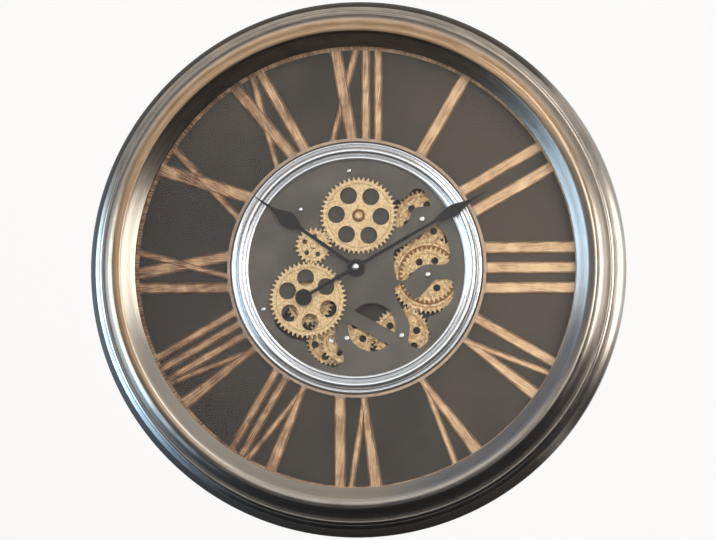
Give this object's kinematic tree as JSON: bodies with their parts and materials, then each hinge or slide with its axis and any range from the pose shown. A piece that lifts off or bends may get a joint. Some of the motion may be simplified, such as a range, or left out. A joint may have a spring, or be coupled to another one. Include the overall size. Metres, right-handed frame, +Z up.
{
  "type": "gear wall clock",
  "caption": "Round wall clock with a deep stepped bezel, raised Roman numerals, a polished ring and an open centre of meshing gears behind black leaf hands.",
  "frame": {"origin": "on the flat rear face of the back cover, under the axis of the hands", "axes": "+X to the right as seen from the front, +Y towards the wall, +Z up"},
  "size_m": [0.536, 0.072, 0.536],
  "materials": {
    "bezel": "moulded resin with brushed pewter and bronze metallic paint",
    "black_case": "fine textured black",
    "dial": "smoke grey satin paint",
    "centre_plate": "warm grey satin paint",
    "copper": "dry brushed copper with dark streaks",
    "polished": "polished",
    "gear_brass": "pale stamped brass, lightly aged",
    "steel": "bright zinc",
    "hand_black": "black satin paint",
    "knob_black": "moulded black",
    "glass": "clear float glass",
    "gasket": "matt",
    "cell_sleeve": "plain printed sleeve, no words",
    "lead": "insulated wire"
  },
  "bodies": {
    "root": {"bezel_moulding": "bezel", "case_drum": "black_case", "rear_cover": "black_case", "rear_cover_screw_1": "steel", "rear_cover_screw_2": "steel", "rear_cover_screw_3": "steel", "rear_cover_screw_4": "steel", "keyhole_hanger": "steel", "front_glass": "glass", "glass_gasket": "gasket", "dial_spacer": "black_case", "dial_plate": "dial", "numeral_frame": "copper", "chrome_ring": "polished", "gear_plate": "centre_plate", "base_plate": "gear_brass", "plate_pillar_1": "steel", "plate_pillar_2": "steel", "plate_pillar_3": "steel", "plate_pillar_4": "steel", "idler_stud": "gear_brass", "bottom_stud": "steel", "lower_left_stud": "steel", "drive_motor": "steel", "movement_case": "black_case", "movement_bush": "gear_brass", "bush_washer": "steel", "hand_nut": "gear_brass", "battery_holder": "black_case", "battery_cell_upper": "cell_sleeve", "battery_cell_lower": "cell_sleeve", "battery_contact_right": "steel", "battery_contact_left": "steel", "movement_lead": "lead", "motor_lead": "lead"},
    "minute_hand": {"minute_arbor": "steel", "minute_hand": "hand_black", "centre_cap": "polished"},
    "hour_hand": {"hour_tube": "steel", "hour_hand": "hand_black"},
    "setting_knob": {"setting_knob": "knob_black"},
    "right_gear": {"right_big_gear": "gear_brass", "right_small_gear": "gear_brass", "right_arbor": "steel"},
    "upper_gear": {"upper_gear": "gear_brass", "upper_rear_wheel": "gear_brass", "upper_arbor": "gear_brass", "upper_hub_washer": "steel"},
    "idler_gear": {"idler_gear": "gear_brass"},
    "lower_gear": {"lower_gear": "gear_brass", "lower_rear_wheel": "gear_brass", "lower_arbor": "gear_brass"},
    "right_upper_gear": {"right_upper_gear": "gear_brass", "right_upper_arbor": "steel"},
    "lower_right_gear": {"lower_right_gear": "gear_brass", "lower_right_arbor": "steel"},
    "bottom_gear": {"bottom_gear": "gear_brass"},
    "lower_left_gear": {"lower_left_gear": "gear_brass"},
    "drive_pinion": {"drive_pinion": "steel"}
  },
  "joints": [
    {"name": "minute_hand_spin", "type": "hinge", "parent": "root", "child": "minute_hand", "pos_m": [0, 0, 0], "axis": [0, 1, 0], "continuous": true},
    {"name": "hour_hand_spin", "type": "hinge", "parent": "root", "child": "hour_hand", "pos_m": [0, 0, 0], "axis": [0, 1, 0], "continuous": true},
    {"name": "setting_knob_spin", "type": "hinge", "parent": "root", "child": "setting_knob", "pos_m": [0, 0, -0.019], "axis": [0, 1, 0], "continuous": true},
    {"name": "upper_gear_spin", "type": "hinge", "parent": "root", "child": "upper_gear", "pos_m": [0.0023, 0, 0.052], "axis": [0, 1, 0], "continuous": true},
    {"name": "idler_gear_spin", "type": "hinge", "parent": "root", "child": "idler_gear", "pos_m": [-0.04295, 0, 0.02208], "axis": [0, 1, 0], "continuous": true},
    {"name": "lower_gear_spin", "type": "hinge", "parent": "root", "child": "lower_gear", "pos_m": [-0.0484, 0, -0.0319], "axis": [0, 1, 0], "continuous": true},
    {"name": "right_upper_gear_spin", "type": "hinge", "parent": "root", "child": "right_upper_gear", "pos_m": [0.06518, 0, 0.04804], "axis": [0, 1, 0], "continuous": true},
    {"name": "right_gear_spin", "type": "hinge", "parent": "root", "child": "right_gear", "pos_m": [0.07088, 0, -0.00716], "axis": [0, 1, 0], "continuous": true},
    {"name": "lower_right_gear_spin", "type": "hinge", "parent": "root", "child": "lower_right_gear", "pos_m": [0.04488, 0, -0.06782], "axis": [0, 1, 0], "continuous": true},
    {"name": "bottom_gear_spin", "type": "hinge", "parent": "root", "child": "bottom_gear", "pos_m": [-0.00981, 0, -0.0704], "axis": [0, 1, 0], "continuous": true},
    {"name": "lower_left_gear_spin", "type": "hinge", "parent": "root", "child": "lower_left_gear", "pos_m": [-0.02693, 0, -0.07315], "axis": [0, 1, 0], "continuous": true},
    {"name": "drive_pinion_spin", "type": "hinge", "parent": "root", "child": "drive_pinion", "pos_m": [-0.02566, 0, 0.08532], "axis": [0, 1, 0], "continuous": true}
  ],
  "couplings": [
    {"joint": "hour_hand_spin", "follows": "minute_hand_spin", "ratio": 0.083333},
    {"joint": "setting_knob_spin", "follows": "minute_hand_spin", "ratio": -1},
    {"joint": "idler_gear_spin", "follows": "upper_gear_spin", "ratio": -2.1818},
    {"joint": "lower_gear_spin", "follows": "upper_gear_spin", "ratio": 1},
    {"joint": "lower_left_gear_spin", "follows": "upper_gear_spin", "ratio": -1},
    {"joint": "right_upper_gear_spin", "follows": "upper_gear_spin", "ratio": -1.2105},
    {"joint": "right_gear_spin", "follows": "upper_gear_spin", "ratio": 1.2778},
    {"joint": "lower_right_gear_spin", "follows": "upper_gear_spin", "ratio": -1.6813},
    {"joint": "bottom_gear_spin", "follows": "upper_gear_spin", "ratio": 1.8254},
    {"joint": "drive_pinion_spin", "follows": "upper_gear_spin", "ratio": -3.8333}
  ]
}
